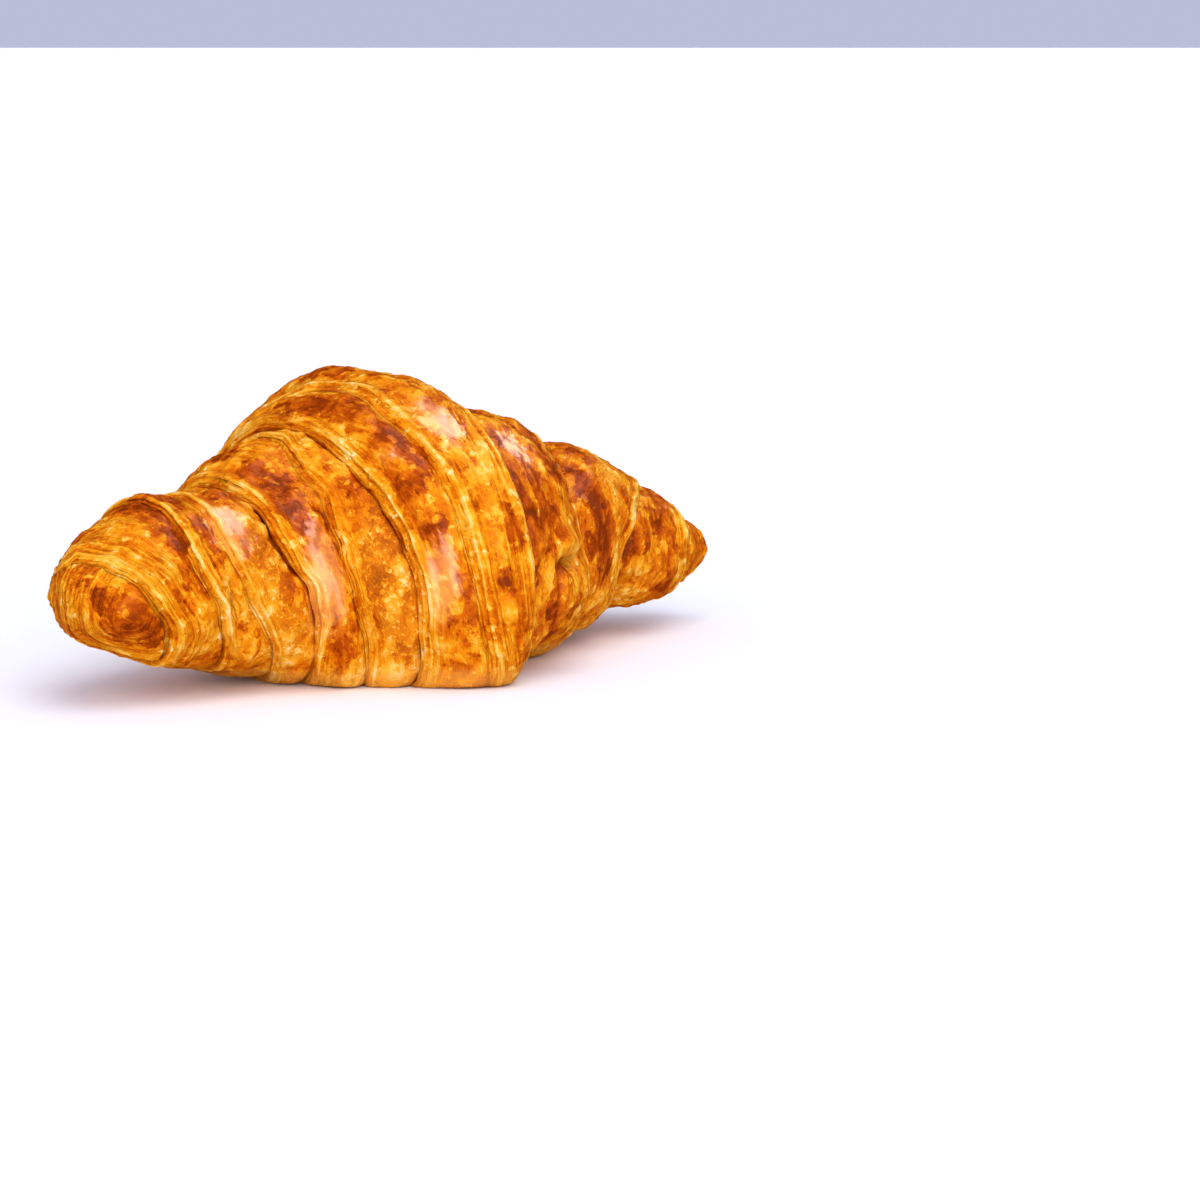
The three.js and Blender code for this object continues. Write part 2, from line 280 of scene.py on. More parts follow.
def layColumns(angle):
    # Columns of points from horn to horn, which follow the free edges beside them: at every angle
    # x, radius, wrap, free edge, how far up a drop from 0 to 1, and the curl of the horn. Also
    # returns how deep each drop is.
    # A wrap: r0 + (r1 - r0) (1 - (1 - t)^dome) + rise (1 - t)^2 + crown sin(pi t^0.7) - dip t^5,
    # with t from its free edge, where the roll's radius is r0, to its tuck, where it is r1.
    columns = []
    around = stack(np.cos(angle), np.sin(angle), np.zeros_like(angle))
    clear = smoothStep(0.15, 0.6, 1 - np.cos(angle))  # 0 on the underside, where nothing overhangs

    def edgeLine(k):
        edge = freeEdges[k]
        slow, quick = roll["edgeWobble"]
        wobble = slow * noise(around * 2.2 + k * 7.3, roll["seed"])
        wobble = wobble + quick * noise(around * 6 + k * 3.1, roll["seed"] + 1)
        return aroundRoll(edge["at"], angle) + wobble * clear

    def unevenness(k):
        return 1 + roll["unevenness"] * noise(around * 2.6 + k * 5.7, roll["seed"] + 2)

    lines = [edgeLine(k) for k in range(len(freeEdges))]
    rises = [aroundRoll(e["rise"], angle) * unevenness(k) for k, e in enumerate(freeEdges)]
    dips = [aroundRoll(e["dip"], angle) * unevenness(k + 20) for k, e in enumerate(freeEdges)]
    tucks = [e["tuck"] * clear * unevenness(k + 40) for k, e in enumerate(freeEdges)]

    def rollRadius(x):
        return smoothCurve(roll["radius"], x)

    def add(x, radius, wrap, edge, drop, curl=0.0):
        tags = [np.full_like(angle, tag) for tag in (wrap, edge, drop, curl)]
        columns.append((x, radius, *tags))

    def addWall(k):
        # the drop from a lip, at s = 1, down to the wrap that runs in under it, at s = 0
        faces = freeEdges[k]["faces"]
        overhangs = freeEdges[k]["tuck"] > 0
        foot = rollRadius(lines[k]) - dips[k]
        steps = np.linspace(0, 1, roll["wallColumns"] + 2)[1:-1]
        for s in steps if faces < 0 else steps[::-1]:
            bulge = roll["wallBulge"] * math.sin(math.pi * s)
            bulge = bulge - roll["wallSheetDepth"] * math.sin(2 * math.pi * roll["wallSheets"] * s)
            x = lines[k] - faces * (tucks[k] * (1 - s) ** 2 - bulge * clear * overhangs)
            add(x, foot + (dips[k] + rises[k]) * s**0.8, wallTag, k, s)

    def addHorn(k, tip):
        # radius (1 - u)^bluntness, with u from 0 at the foot of the first edge to 1 at the tip
        faces = freeEdges[k]["faces"]
        start = lines[k] - faces * tucks[k]
        foot = rollRadius(lines[k]) - dips[k]
        steps = (np.arange(roll["hornColumns"]) + 0.5) / roll["hornColumns"]
        for s in steps if faces > 0 else steps[::-1]:
            u = math.sin(s * math.pi / 2)
            radius = foot * (1 - u) ** roll["bluntness"]
            curl = roll["curl"][int(faces > 0)] * s**1.5
            add(start + (tip - start) * u, radius, k + hornTag, -1, 0, curl)

    def addWrap(k):
        left, right = freeEdges[k], freeEdges[k + 1]
        # each end is either the wrap's own free edge or where it runs in under the next edge
        lip = roll["lipDepth"] * clear
        start = lines[k] + (lip if left["faces"] < 0 else -tucks[k])
        end = lines[k + 1] + (-lip if right["faces"] > 0 else tucks[k + 1])
        count = int(np.mean(end - start) / roll["columnStep"]) + 6
        s = np.linspace(0, 1, count)
        s = s - roll["edgeShare"] * np.sin(2 * np.pi * s) / (2 * np.pi)
        crown = roll["crown"] * min(1.0, np.mean(end - start) / roll["crownRun"])
        low, high = rollRadius(lines[k]), rollRadius(lines[k + 1])
        dome = roll["hoodDome"] if k in (0, len(freeEdges) - 2) else roll["dome"]
        for t in s:
            x = start + (end - start) * t
            if left["faces"] < 0 and right["faces"] > 0:
                radius = rollRadius(x) + rises[k] * (1 - t) ** 2 + rises[k + 1] * t**2
                radius = radius + crown * math.sin(math.pi * t)
            elif left["faces"] < 0:
                radius = low + (high - low) * (1 - (1 - t) ** dome)
                radius = radius + rises[k] * (1 - t) ** 2 + crown * math.sin(math.pi * t**0.7)
                radius = radius - dips[k + 1] * t**5
            else:
                radius = high + (low - high) * (1 - t**dome)
                radius = radius + rises[k + 1] * t**2 + crown * math.sin(math.pi * (1 - t) ** 0.7)
                radius = radius - dips[k] * (1 - t) ** 5
            own = k if left["faces"] < 0 and (right["faces"] < 0 or t < 0.5) else k + 1
            add(x, radius, k, own, 1)

    addHorn(0, roll["tips"][0])
    addWall(0)
    for k in range(len(freeEdges) - 1):
        addWrap(k)
        addWall(k + 1)
    addHorn(len(freeEdges) - 1, roll["tips"][1])
    depths = np.array(rises) + np.array(dips)
    return [np.array(field) for field in zip(*columns)], depths


def rollSurface(x, radius, angle, curl):
    # an ellipse square to the bent axis; height (z + sqrt(z^2 + foot^2)) / 2 flattens its underside
    bend = np.where(x < 0, roll["bendLeft"], roll["bendRight"])
    share = np.clip(x / roll["halfLength"], -1, 1)
    slope = -2 * bend * share / roll["halfLength"]
    length = np.sqrt(1 + slope**2)
    lumps = np.sin(0.21 * x + 2 * angle) + 0.6 * np.sin(0.37 * x - 3 * angle + 1)
    taper = np.clip(radius / 10, 0, 1)
    radius = np.maximum(radius + roll["lump"] * lumps * taper, 0.05)
    reach = np.sin(angle) * radius * roll["widthToHeight"]
    height = smoothCurve(roll["axisHeight"], x) - np.cos(angle) * radius
    height = (height + np.sqrt(height**2 + roll["softFoot"] ** 2)) / 2
    return stack(x + slope / length * reach, -bend * share**2 - curl - reach / length, height)


def surfaceNormals(points):
    # cross product of the steps round the roll and along it
    alongStep = np.gradient(points, axis=0)
    roundStep = np.roll(points, -1, axis=1) - np.roll(points, 1, axis=1)
    normal = np.cross(alongStep, roundStep)
    return normal / np.maximum(np.linalg.norm(normal, axis=-1, keepdims=True), 1e-9)


def spotField(spots, x, angle, radius):
    # sum of strength exp(-(dx / w)^2 - (radius da / l)^2)
    total = np.zeros_like(x)
    for spotX, degrees, width, length, strength in spots:
        turn = angle - math.radians(degrees)
        turn = (turn + np.pi) % (2 * np.pi) - np.pi
        total += strength * np.exp(-((x - spotX) / width) ** 2 - (turn * radius / length) ** 2)
    return total


def measureBands(smooth, wrap, edge, depths):
    # distances in mm over the surface to the wrap's own free edge and to the fold where the wrap
    # runs in under the next, and how deep that fold is
    stepAlong = np.linalg.norm(np.diff(smooth, axis=0), axis=-1)
    along = np.vstack([np.zeros(smooth.shape[1]), np.cumsum(stepAlong, axis=0)])
    far = 99.0  # what a point with no edge or fold of its own reads
    fromEdge, fromFold, depth = (np.full(along.shape, start) for start in (far, far, 0.0))
    wrapOf, edgeOf = wrap[:, 0], edge[:, 0]
    onWall = wrapOf == wallTag
    for k, freeEdge in enumerate(freeEdges):
        own = np.flatnonzero((edgeOf == k) & ~onWall)
        rim = own[0] if freeEdge["faces"] < 0 else own[-1]
        fromEdge[own] = np.abs(along[own] - along[rim])
        foot = rim + freeEdge["faces"] * (roll["wallColumns"] + 1)
        below = np.flatnonzero(wrapOf == wrapOf[foot])
        reach = np.abs(along[below] - along[foot])
        nearer = reach < fromFold[below]
        depth[below] = np.where(nearer, depths[k], depth[below])
        fromFold[below] = np.minimum(reach, fromFold[below])
        depth[(edgeOf == k) & onWall] = depths[k]
    return fromEdge, fromFold, depth


def sheetRidges(across, around, tag, step, seed):
    # ridges e^-((s - 0.4) / 0.26)^2, with s from 0 to 1 across each sheet; every ridge fades
    # in and out along its length
    phase = across / step + 0.7 * noise(stack(across / 5 + tag * 3.7, *around / 26), seed)
    line = np.floor(phase)
    strength = smoothStep(-0.6, 0.3, noise(stack(line * 5.37 + tag, *around / 13), seed + 1))
    return strength * np.exp(-(((phase - line - 0.4) / 0.26) ** 2))


def makeCroissantFields():
    # The points of the crust, what the material reads at each of them, and how far each lies
    # across the sheets and round the roll. The height of the crust is the sum of its features,
    # each times its own rise, and less on the drops and near the foot. The bake is a sum too.
    rows = roll["rows"]
    s = np.arange(rows) / rows
    angle = 2 * np.pi * s + roll["topShare"] * np.sin(2 * np.pi * s)
    (x, radius, wrap, edge, drop, curl), depths = layColumns(angle)
    angle = np.broadcast_to(angle, x.shape)
    smooth = rollSurface(x, radius, angle, curl)
    normal = surfaceNormals(smooth)
    fromEdge, fromFold, depth = measureBands(smooth, wrap, edge, depths)
    stepRound = np.linalg.norm(np.diff(smooth, axis=1, append=smooth[:, :1]), axis=-1)
    roundIt = np.hstack([np.zeros((len(x), 1)), np.cumsum(stepRound, axis=1)])
    print("roll laid out:", x.shape)

    seed = roll["seed"]
    sizes = {name: np.array(size) for name, size in skin["sizes"].items()}
    onWall, onHorn = wrap == wallTag, wrap >= hornTag
    level = smooth[..., 2]
    onTop = smoothStep(8, 30, level)
    aboveFoot = 0.2 + 0.8 * smoothStep(0.6, 5, level)
    around = np.moveaxis(smooth[..., 1:], -1, 0)
    tag = np.where(onHorn, wrap, edge) * 11.7  # keeps the patterns of two wraps apart

    # thin sheets show along the free edges, on the horns, and in stretches elsewhere
    frill = np.array([e["frill"] for e in freeEdges])[np.clip(edge.astype(int), 0, None)]
    atEdge = np.exp(-((fromEdge / frill) ** 2))
    stretches = noise(stack(fromEdge / 6 + tag, *around / 24), seed + 14)
    gloss = spotField(glossSpots, x, angle, radius)
    baked = spotField(glazeSpots, x, angle, radius)
    washed = np.clip(baked + gloss, 0, 1)
    striae = np.clip(atEdge + 0.6 * smoothStep(0.1, 0.5, stretches) * (1 - washed), 0, 1)
    toEye = np.minimum(*[np.linalg.norm((smooth - np.array(eye)) * roll["eyeShape"], axis=-1)
                         for eye in roll["hornEyes"]])
    striae = np.where(onWall, 0.8, np.where(onHorn, smoothStep(3.5, 7, toEye), striae))
    across = np.where(onHorn, toEye, np.where(onWall, -2.5 * (1 - drop), fromEdge))
    ridge = sheetRidges(across, around, tag, skin["sheetStep"], seed + 11)
    thickStep = skin["thickSheets"] * skin["sheetStep"]
    thickRidge = sheetRidges(across, around, tag + 5, thickStep, seed + 15)
    fromRim = fromEdge / skin["rimWidth"]
    rim = np.exp(-((fromRim - 1) ** 2)) - 0.5 * np.exp(-(((fromRim - 3.1) / 0.7) ** 2))

    # browned egg wash: listed spots and a patchy noise, kept off the edges and the foot
    glazes, hornGlazes, ochres = skin["glazes"], skin["hornGlazes"], skin["ochres"]
    patches = glazes["patch"] * layered(smooth / sizes["patch"], seed + 20, 3)
    patches = patches + glazes["smallPatch"] * noise(smooth / sizes["smallPatch"], seed + 24)
    glaze = glazes["mean"] + glazes["spots"] * baked + patches + glazes["top"] * onTop
    glaze = glaze + glazes["edge"] * atEdge + glazes["foot"] * smoothStep(12, 4, level)
    glaze = glaze + glazes["dry"] * onWall
    hornGlaze = hornGlazes["mean"] + hornGlazes["spots"] * baked + hornGlazes["patches"] * patches
    glaze = np.where(onHorn, hornGlaze, glaze)
    # blistered, matter crust: in its own spots and beside the deep folds
    ochre = ochres["spots"] * spotField(ochreSpots, x, angle, radius) + ochres["edge"] * atEdge
    ochre = ochre + ochres["uneven"] * layered(smooth / sizes["ochre"], seed + 30, 2)
    ochre = ochre + ochres["fold"] * np.exp(-fromFold / 3) * smoothStep(1, 3, depth)
    pale = spotField(paleSpots, x, angle, radius) + 0.5 * layered(smooth / sizes["pale"], seed + 34, 2)

    # flakes of skin that lifted are flat islands of a noise
    whole = (1 - striae) * (~onWall) * (1 - 0.7 * np.clip(gloss, 0, 1))  # 1 where the skin is whole
    flake = smoothStep(0.1, 0.2, noise(smooth / sizes["flake"], seed + 90))
    smallFlake = smoothStep(0.15, 0.3, noise(smooth / sizes["smallFlake"], seed + 92))
    bubble = blisters(smooth / sizes["bubble"], seed + 40, 0.55)
    smallBubble = blisters(smooth / sizes["smallBubble"], seed + 50, 0.6)
    bubbly = (0.3 + 0.7 * whole) * (0.6 + np.clip(ochre, 0, 1))
    swelling = spotField(swellings, x, angle, radius) * ~onWall

    features = {
        "ridge": ridge * striae,
        "thickRidge": thickRidge * striae,
        "rim": rim * ~onHorn,
        "bubble": bubble * bubbly,
        "smallBubble": smallBubble * bubbly,
        "wrinkle": layered(smooth / sizes["wrinkle"], seed + 60, 3),
        "glaze": smoothStep(0.35, 0.5, glaze),
        "flake": flake * (0.3 + 0.7 * whole),
        "smallFlake": smallFlake * (0.3 + 0.7 * whole),
        "bulge": layered(smooth / sizes["bulge"], seed + 70, 2),
    }
    height = swelling + sum(skin["rises"][name] * field for name, field in features.items())
    height = height * np.where(onWall, 0.35, 1.0) * aboveFoot
    points = smooth + normal * height[..., None]
    points[..., 2] = np.maximum(points[..., 2], 0)

    bakes = skin["bakes"]
    ends = smoothStep(42, 56, -x) + smoothStep(8, 24, x)
    bake = skin["meanBake"] + bakes["ends"] * ends + bakes["horn"] * onHorn
    bake = bake + bakes["uneven"] * layered(smooth / sizes["bake"], seed + 80, 3)
    bake = bake + (skin["ochreBake"] - bake) * 0.5 * smoothStep(0.2, 0.7, ochre)
    bubbles = bakes["bubble"] * bubble + bakes["smallBubble"] * smallBubble
    onSkin = bakes["flake"] * flake + bakes["smallFlake"] * smallFlake
    onSkin = onSkin + np.maximum(bubbles, -skin["mostBubbleBake"])
    bake = bake + onSkin * (0.4 + 0.6 * whole)
    sheets = bakes["ridge"] * (ridge - 0.4) + bakes["thickRidge"] * (thickRidge - 0.4)
    bake = bake + striae * (bakes["striae"] * (1 - 0.8 * onHorn) + sheets * (1 - 0.35 * onHorn))
    bake = bake + bakes["pale"] * np.clip(pale, -0.5, 1)
    bake = bake + bakes["lip"] * np.exp(-(((fromEdge - 0.9) / 0.8) ** 2))
    # painted shade, with some burnt butter: the fold field darkens down each drop under a lip, towards
    # each deep fold, and in the dents
    crease = np.where(onWall, (1 - drop) ** 1.2, np.exp(-fromFold / 0.9))
    dent = np.clip(-swelling - 0.2, 0, 0.6)
    fields = {
        "bake": bake,
        "glaze": glaze,
        "ochre": ochre,
        "frill": np.where(onWall, 0.6 + 0.4 * drop, striae),
        "fold": crease * (0.05 + 0.95 * smoothStep(1.8, 3.4, depth)) + dent,
        "foot": 1 - smoothStep(0.3, 7, level),
        "gloss": gloss,
    }
    return points, fields, across, roundIt


def buildMesh(name, points, fields, across, roundIt):
    # a grid closed round the roll, and a fan of triangles to a point just past it at each tip
    columns, rows = points.shape[:2]
    tips = np.array([points[0].mean(axis=0), points[-1].mean(axis=0)])
    tips[0, 0] = min(points[0, :, 0].min(), tips[0, 0]) - roll["tipReach"]
    tips[1, 0] = max(points[-1, :, 0].max(), tips[1, 0]) + roll["tipReach"]
    vertices = np.vstack([points.reshape(-1, 3), tips])

    # the model stands where the CAD solid stands: same middle in plan, same surface underneath
    low, high = vertices.min(axis=0), vertices.max(axis=0)
    cadMiddle = (np.array(cadLow) + np.array(cadHigh)) / 2 / mm
    rollOrigin = cadMiddle - (low + high) / 2
    rollOrigin[2] = cadLow.z / mm - low[2]
    vertices += rollOrigin

    c, r = np.meshgrid(np.arange(columns - 1), np.arange(rows), indexing="ij")
    nextRow = (r + 1) % rows
    quads = stack(c * rows + r, (c + 1) * rows + r, (c + 1) * rows + nextRow, c * rows + nextRow)
    quads = quads.reshape(-1, 4)
    ring = np.arange(rows)
    following = (ring + 1) % rows
    leftTip = columns * rows
    lastRing = (columns - 1) * rows
    leftFan = np.stack([np.full(rows, leftTip), ring, following], axis=-1)
    rightFan = np.stack([np.full(rows, leftTip + 1), lastRing + following, lastRing + ring], axis=-1)

    mesh = bpy.data.meshes.new(name)
    mesh.vertices.add(len(vertices))
    mesh.vertices.foreach_set("co", (vertices * mm).astype(np.float32).ravel())
    corners = np.concatenate([quads.ravel(), leftFan.ravel(), rightFan.ravel()])
    sizes = np.concatenate([np.full(len(quads), 4), np.full(2 * rows, 3)])
    mesh.loops.add(len(corners))
    mesh.loops.foreach_set("vertex_index", corners.astype(np.int32))
    mesh.polygons.add(len(sizes))
    mesh.polygons.foreach_set("loop_start", (np.cumsum(sizes) - sizes).astype(np.int32))
    mesh.polygons.foreach_set("use_smooth", np.ones(len(sizes), bool))
    mesh.update(calc_edges=True)

    def mapAt(u, v, column, row):
        return np.stack([u[column, row], v[column, row]], axis=-1)

    # two maps: one laid out flat from 0 to 1, with room at each side for the fan at that tip, and
    # one in millimetres over the sheets of dough
    share = (points[..., 0].mean(axis=1) - low[0]) / (high[0] - low[0])
    girth = roundIt.max(axis=0) / roundIt.max()
    flatU = np.broadcast_to(0.01 + 0.98 * (0.02 + 0.96 * share)[:, None], (columns, rows + 1))
    flatV = np.broadcast_to(0.005 + 0.99 * girth, (columns, rows + 1))
    acrossSheets = np.hstack([across, across[:, :1]])
    for mapName, u, v, tipU in (("OFBake", flatU, flatV, (0.01, 0.99)),
                                ("lamina", acrossSheets, roundIt, across[[0, -1]].mean(axis=1))):
        quadMap = [mapAt(u, v, *at) for at in ((c, r), (c + 1, r), (c + 1, r + 1), (c, r + 1))]
        facesMap = [np.stack(quadMap, axis=2).reshape(-1, 2)]
        for column, tip, ends in ((0, tipU[0], (ring, ring + 1)), (-1, tipU[1], (ring + 1, ring))):
            middleV = (v[column, ring] + v[column, ring + 1]) / 2
            point = np.stack([np.full(rows, tip), middleV], axis=-1)
            near = [mapAt(u, v, column, end) for end in ends]
            facesMap.append(np.stack([point, *near], axis=1).reshape(-1, 2))
        layer = mesh.uv_layers.new(name=mapName)
        layer.data.foreach_set("uv", np.vstack(facesMap).astype(np.float32).ravel())
    for fieldName, values in fields.items():
        attribute = mesh.attributes.new(fieldName, "FLOAT", "POINT")
        atTips = [values[0].mean(), values[-1].mean()]
        attribute.data.foreach_set("value", np.append(values.ravel(), atTips).astype(np.float32))
    mesh.validate()
    return mesh, rollOrigin


def linearColour(code):
    # sRGB hex to linear: ((c + 0.055) / 1.055)^2.4 above 0.04045, c / 12.92 below
    channels = [int(code[i:i + 2], 16) / 255 for i in (1, 3, 5)]
    return [c / 12.92 if c <= 0.04045 else ((c + 0.055) / 1.055) ** 2.4 for c in channels] + [1.0]


def addNode(tree, kind, inputs, output=0, **settings):
    # adds a node with its settings, feeds each input with a value or another node's socket, and
    # hands back the output asked for
    node = tree.nodes.new("ShaderNode" + kind)
    for name, value in settings.items():
        setattr(node, name, value)
    for name, value in inputs.items():
        if isinstance(value, bpy.types.NodeSocket):
            tree.links.new(value, node.inputs[name])
        else:
            node.inputs[name].default_value = value
    return node.outputs[output]


crust = {
    # what the dough turns as it bakes, from a dry pale sheet to nearly burnt egg wash
    "browning": [
        (0.0, "#FFD88C"), (0.15, "#FFC45C"), (0.28, "#F8AC30"), (0.42, "#EA9412"),
        (0.56, "#DA7606"), (0.7, "#C45A02"), (0.84, "#AA4200"), (1.0, "#7C2C00"),
    ],
    "fold": "#6A2A04",  # shade and burnt butter in the deep folds
    "foot": "#F0AE48",  # the rim that stood on the tray, out of the egg wash
    "dull": "#CC8420",  # blistered crust that took little egg wash
    "filmSheen": "#F09C58",  # egg wash that pooled thick enough to look milky, and a painted highlight: pale peach mixed in on the glossy spots
    # size in mm and detail of the patterns that run every way; real pores and grains are finer
    "grains": {"drift": (6.0, 2), "broad": (14.0, 3), "medium": (3.0, 4), "fine": (0.9, 3),
               "pore": (0.35, 2)},
    # width, length and waviness in mm, and detail, of those that run along the sheets
    "strips": {"lines": (0.7, 16.0, 0.8, 2), "streaks": (1.7, 6.0, 3.0, 4),
               "flakes": (2.6, 4.5, 3.0, 4), "slivers": (1.0, 2.4, 1.5, 3)},
    "bubble": 1.4,  # mm across the small blisters
    "freckle": 2.1,  # mm between the pale freckles
    "relief": 0.45,  # mm that the finest pattern stands up
}


def makeCrustMaterial():
    # Laminated dough, egg-washed and baked: thin pale sheets along the edges, and between them a
    # skin that browned in patches, with a glossy film where the egg wash pooled. Its colour also holds
    # painted shade in the folds and a painted highlight on the film.
    material = bpy.data.materials.new("bakedLaminatedCrust")
    material.use_nodes = True
    tree = material.node_tree
    shader = tree.nodes["Principled BSDF"]

    place = addNode(tree, "TexCoord", {}, "Object")
    sheetMap = addNode(tree, "UVMap", {}, "UV", uv_map="lamina")
    fields = {name: addNode(tree, "Attribute", {}, "Fac", attribute_name=name)
              for name in ("bake", "glaze", "ochre", "frill", "fold", "foot", "gloss")}

    pattern = {}
    for name, (size, detail) in crust["grains"].items():
        pattern[name] = addNode(tree, "TexNoise", {
            "Vector": place, "Scale": 1 / (size * mm), "Detail": detail, "Roughness": 0.55})
    wander = pattern["drift"].node.outputs["Color"]
    for name, (width, length, waviness, detail) in crust["strips"].items():
        bent = addNode(tree, "VectorMath", {0: wander, 1: (waviness, 0, 0), 2: sheetMap},
                       operation="MULTIPLY_ADD")
        scaled = addNode(tree, "Mapping", {"Vector": bent, "Scale": (1 / width, 1 / length, 1)})
        pattern[name] = addNode(tree, "TexNoise", {
            "Vector": scaled, "Scale": 1, "Detail": detail, "Roughness": 0.6})
    pattern["cells"] = addNode(tree, "TexVoronoi", {
        "Vector": place, "Scale": 1 / (crust["bubble"] * mm), "Smoothness": 0.6},
        "Distance", feature="SMOOTH_F1")

    # freckles: distance to a cell's middle plus a random number of that cell
    unround = addNode(tree, "VectorMath", {
        0: pattern["medium"].node.outputs["Color"], 1: (3 * mm, 3 * mm, 3 * mm), 2: place},
        operation="MULTIPLY_ADD")
    nearest = addNode(tree, "TexVoronoi", {"Vector": unround, "Scale": 1 / (crust["freckle"] * mm)},
                      "Distance")
    pattern["freckles"] = addNode(tree, "Math", {0: nearest, 1: nearest.node.outputs["Color"]},
                                  operation="ADD")

    # sums: a field of the mesh, plus each pattern times its weight; patterns average one half
    sums = {
        "glaze": ("glaze", {"fine": 0.25, "streaks": 0.3, "medium": 0.5}),
        "burnt": ("glaze", {"broad": 0.6, "streaks": 0.4, "fine": 0.25}),
        "ochre": ("ochre", {"medium": 0.9, "fine": 0.3}),
        "frill": ("frill", {"streaks": 1.0}),
        "fold": ("fold", {"fine": 0.3}),
        "foot": ("foot", {"medium": 1.0}),
        "gloss": ("gloss", {"medium": 0.6, "fine": 0.6, "slivers": 0.9}),
        "bake": ("bake", {"streaks": 0.3, "fine": 0.3, "medium": 0.2}),
    }
    total = {}
    for name, (fieldName, weights) in sums.items():
        total[name] = addNode(tree, "Math", {0: fields[fieldName], 1: -sum(weights.values()) / 2},
                              operation="ADD")
        for key, weight in weights.items():
            total[name] = addNode(tree, "Math", {0: pattern[key], 1: weight, 2: total[name]},
                                  operation="MULTIPLY_ADD")

    # shares: a smooth step of a sum or a pattern between two levels, times an amount
    shares = {
        "glaze": (total["glaze"], 0.22, 0.32, 1.0),
        "burnt": (total["burnt"], 0.5, 1.0, 1.0),
        "ochre": (total["ochre"], 0.3, 0.7, 1.0),
        "frill": (total["frill"], 0.25, 0.65, 1.0),
        "fold": (total["fold"], 0.25, 0.95, 0.85),
        "foot": (total["foot"], 0.2, 0.8, 0.4),
        "gloss": (total["gloss"], 0.25, 0.6, 1.0),
        "dull": (total["ochre"], 0.3, 0.8, 0.25),
        "filmSheen": (total["gloss"], 0.3, 0.9, 0.35),
        "lines": (pattern["lines"], 0.42, 0.56, 1.0),
        "scorch": (pattern["medium"], 0.43, 0.38, 1.0),
        "dashes": (pattern["slivers"], 0.4, 0.36, 1.0),
        "flakes": (pattern["flakes"], 0.54, 0.58, 1.0),
        "slivers": (pattern["slivers"], 0.58, 0.63, 1.0),
        "speck": (pattern["fine"], 0.56, 0.63, 1.0),
        "freckles": (pattern["freckles"], 0.56, 0.5, 1.0),
    }
    share = {}
    for name, (value, low, high, amount) in shares.items():
        share[name] = addNode(tree, "MapRange", {
            "Value": value, "From Min": low, "From Max": high, "To Max": amount},
            interpolation_type="SMOOTHSTEP")

    # how far each share moves the bake
    lineShare = addNode(tree, "Math", {0: share["lines"], 1: share["frill"]}, operation="MULTIPLY")
    ochreSpeck = addNode(tree, "Math", {0: share["speck"], 1: share["ochre"]}, operation="MULTIPLY")
    bake = total["bake"]
    # the gloss share's small lift of the bake is a painted highlight on the film
    for value, weight in ((share["glaze"], 0.23), (share["burnt"], 0.1), (share["frill"], 0.08),
                          (lineShare, -0.16), (share["ochre"], -0.02), (ochreSpeck, -0.36),
                          (share["flakes"], -0.12), (share["slivers"], -0.15),
                          (share["freckles"], -0.25), (share["scorch"], 0.13),
                          (share["dashes"], 0.16), (share["gloss"], -0.04)):
        bake = addNode(tree, "Math", {0: value, 1: weight, 2: bake}, operation="MULTIPLY_ADD")
    browned = addNode(tree, "ValToRGB", {"Fac": bake})
    ramp = browned.node.color_ramp
    for k, (level, code) in enumerate(crust["browning"]):
        stop = ramp.elements[k] if k < 2 else ramp.elements.new(level)
        stop.position, stop.color = level, linearColour(code)
    colour = browned
    # mixes in the dull crust, the pale peach of the film that is a painted highlight, the pale foot,
    # and the dark of the folds that is painted shade and burnt butter
    for name in ("dull", "filmSheen", "foot", "fold"):
        colour = addNode(tree, "Mix", {0: share[name], 6: colour, 7: linearColour(crust[name])}, 2,
                         data_type="RGBA")

    # the relief: small blisters, and how far each share or pattern stands up
    relief = addNode(tree, "Math", {0: pattern["cells"], 1: -0.4}, operation="MULTIPLY")
    for value, rise in ((lineShare, 0.7), (share["flakes"], 0.3), (share["slivers"], 0.25),
                        (share["glaze"], 0.2), (share["freckles"], 0.5), (pattern["fine"], 0.35),
                        (pattern["pore"], 0.15)):
        relief = addNode(tree, "Math", {0: value, 1: rise, 2: relief}, operation="MULTIPLY_ADD")
    # pooled egg wash is glossy; the dry sheets and the blistered crust are not: what each share
    # adds to the roughness and to the coat of egg wash
    roughness = addNode(tree, "MapRange", {
        "Value": pattern["medium"], "From Min": 0.3, "From Max": 0.7, "To Min": 0.26, "To Max": 0.42})
    coat = addNode(tree, "Math", {0: share["glaze"], 1: 0.04, 2: 0.02}, operation="MULTIPLY_ADD")
    for name, dull, shine in (("frill", 0.16, -0.22), ("ochre", 0.12, -0.2), ("gloss", -0.08, 1.0)):
        roughness = addNode(tree, "Math", {0: share[name], 1: dull, 2: roughness},
                            operation="MULTIPLY_ADD")
        coat = addNode(tree, "Math", {0: share[name], 1: shine, 2: coat}, operation="MULTIPLY_ADD",
                       use_clamp=True)
    strength = addNode(tree, "Math", {0: share["gloss"], 1: -0.5, 2: 0.8}, operation="MULTIPLY_ADD")
    bump = addNode(tree, "Bump", {"Strength": strength, "Distance": crust["relief"] * mm,
                                  "Height": relief})

    # baked dough: light goes about a millimetre into it, and its reflections come from the egg wash
    for name, socket in {"Base Color": colour, "Roughness": roughness, "Normal": bump,
                         "Coat Weight": coat}.items():
        tree.links.new(socket, shader.inputs[name])
    for name, value in {"IOR": 1.45, "Specular IOR Level": 0.02, "Subsurface Weight": 0.1,
                        "Subsurface Radius": (1.0, 0.4, 0.08), "Subsurface Scale": 1.2 * mm,
                        "Coat Roughness": 0.24, "Coat IOR": 1.5}.items():
        shader.inputs[name].default_value = value
    return material


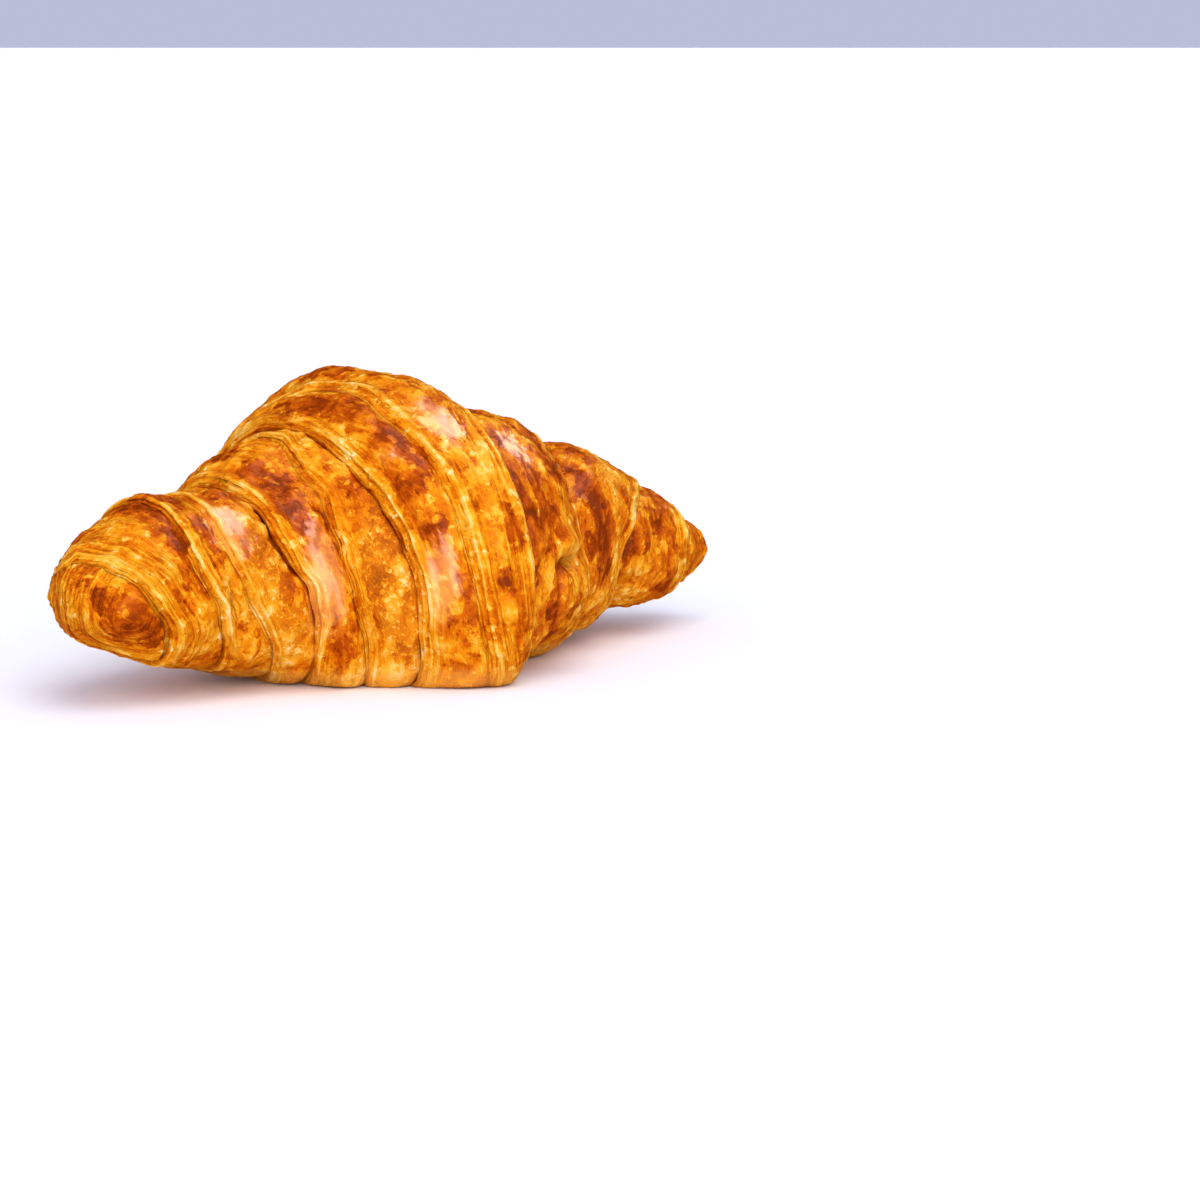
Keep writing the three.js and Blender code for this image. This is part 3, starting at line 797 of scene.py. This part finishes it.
studio = {
    "paper": "#F5F6FA",
    "paperSize": 40.0,  # m; past its far end the sky shows, along the top of the frame
    "azimuth": -40.0,  # camera direction, degrees from straight in front, minus to the left
    "elevation": 7.5,
    "distance": 700.0,  # mm
    "frameWidth": 227.7,  # mm seen across the frame at that distance
    "lookAtHeight": 28.0,  # above the floor
    "aimRight": 41.2,  # the croissant stands left of the middle of the frame and above it
    "aimDown": 16.7,
    "sky": 0.68,  # strength of the light from all round
    "skyColour": "#DCE2FF",
    # name, where it stands as seen from the croissant, strength, width in degrees
    "lamps": [
        ("top_softbox", (-0.15, -0.5, 1.0), 1.36, 44.0),
        ("front_softbox", (-0.4, -1.0, 0.5), 1.0, 40.0),
        ("left_softbox", (-1.0, -0.35, 0.4), 0.85, 50.0),
    ],
    # cards that only show as reflections in the egg wash: the same four values
    "cards": [
        ("top_card", (0.2, -0.15, 1.0), 3.8, 50.0),
        ("right_card", (0.8, 0.1, 0.8), 1.4, 30.0),
        ("front_card", (-0.2, -1.0, 0.15), 5.2, 70.0),
    ],
    "cardColour": "#FFF0E6",
}


def makeStudio(rollOrigin):
    # a white paper floor, a soft sky, three softboxes, three reflecting cards and the camera
    bpy.ops.mesh.primitive_plane_add(size=studio["paperSize"], location=(0, 0, cadLow.z))
    floor = bpy.context.object
    floor.name = "paper_floor"
    paper = bpy.data.materials.new("whitePaperSweep")
    paper.use_nodes = True
    surface = paper.node_tree.nodes["Principled BSDF"]
    surface.inputs["Base Color"].default_value = linearColour(studio["paper"])
    surface.inputs["Roughness"].default_value = 0.9
    floor.data.materials.append(paper)
    floor.visible_glossy = False

    world = bpy.data.worlds.new("softWhite")
    world.use_nodes = True
    sky = world.node_tree.nodes["Background"]
    sky.inputs["Color"].default_value = linearColour(studio["skyColour"])
    sky.inputs["Strength"].default_value = studio["sky"]
    world.cycles_visibility.glossy = False  # the cards give the reflections
    bpy.context.scene.world = world

    for name, towards, strength, spread in studio["lamps"] + studio["cards"]:
        data = bpy.data.lights.new(name, "SUN")
        data.energy = strength
        data.angle = math.radians(spread)
        if name.endswith("card"):
            data.color = linearColour(studio["cardColour"])[:3]
        lamp = bpy.data.objects.new(name, data)
        lamp.rotation_euler = Vector(towards).to_track_quat("Z", "Y").to_euler()
        lamp.visible_diffuse = name.endswith("softbox")
        lamp.visible_glossy = name.endswith("card")
        bpy.context.scene.collection.objects.link(lamp)

    turn, tilt = math.radians(studio["azimuth"]), math.radians(studio["elevation"])
    level = Vector((math.sin(turn), -math.cos(turn), 0))
    back = level * math.cos(tilt) + Vector((0, 0, math.sin(tilt)))
    right = Vector((math.cos(turn), math.sin(turn), 0))
    up = back.cross(right)
    centre = Vector(rollOrigin) * mm + Vector((0, 0, studio["lookAtHeight"] * mm))
    data = bpy.data.cameras.new("camera")
    data.sensor_width = 36.0
    data.lens = data.sensor_width * studio["distance"] / studio["frameWidth"]
    data.clip_start, data.clip_end = 0.01, 20.0
    camera = bpy.data.objects.new("camera", data)
    camera.location = centre + back * studio["distance"] * mm
    aim = centre + right * studio["aimRight"] * mm - up * studio["aimDown"] * mm
    camera.rotation_mode = "QUATERNION"
    camera.rotation_quaternion = (aim - camera.location).to_track_quat("-Z", "Y")
    bpy.context.scene.collection.objects.link(camera)
    bpy.context.scene.camera = camera
    bpy.context.scene.view_settings.view_transform = "Standard"
    print("studio ready")


mesh, rollOrigin = buildMesh("croissant_crust", *makeCroissantFields())
makeStudio(rollOrigin)
croissant = bpy.data.objects.new("croissant_crust", mesh)
bpy.context.scene.collection.objects.link(croissant)
mesh.materials.append(makeCrustMaterial())
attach(croissant, "root")
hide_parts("croissant")
print("croissant built:", len(mesh.polygons), "faces")
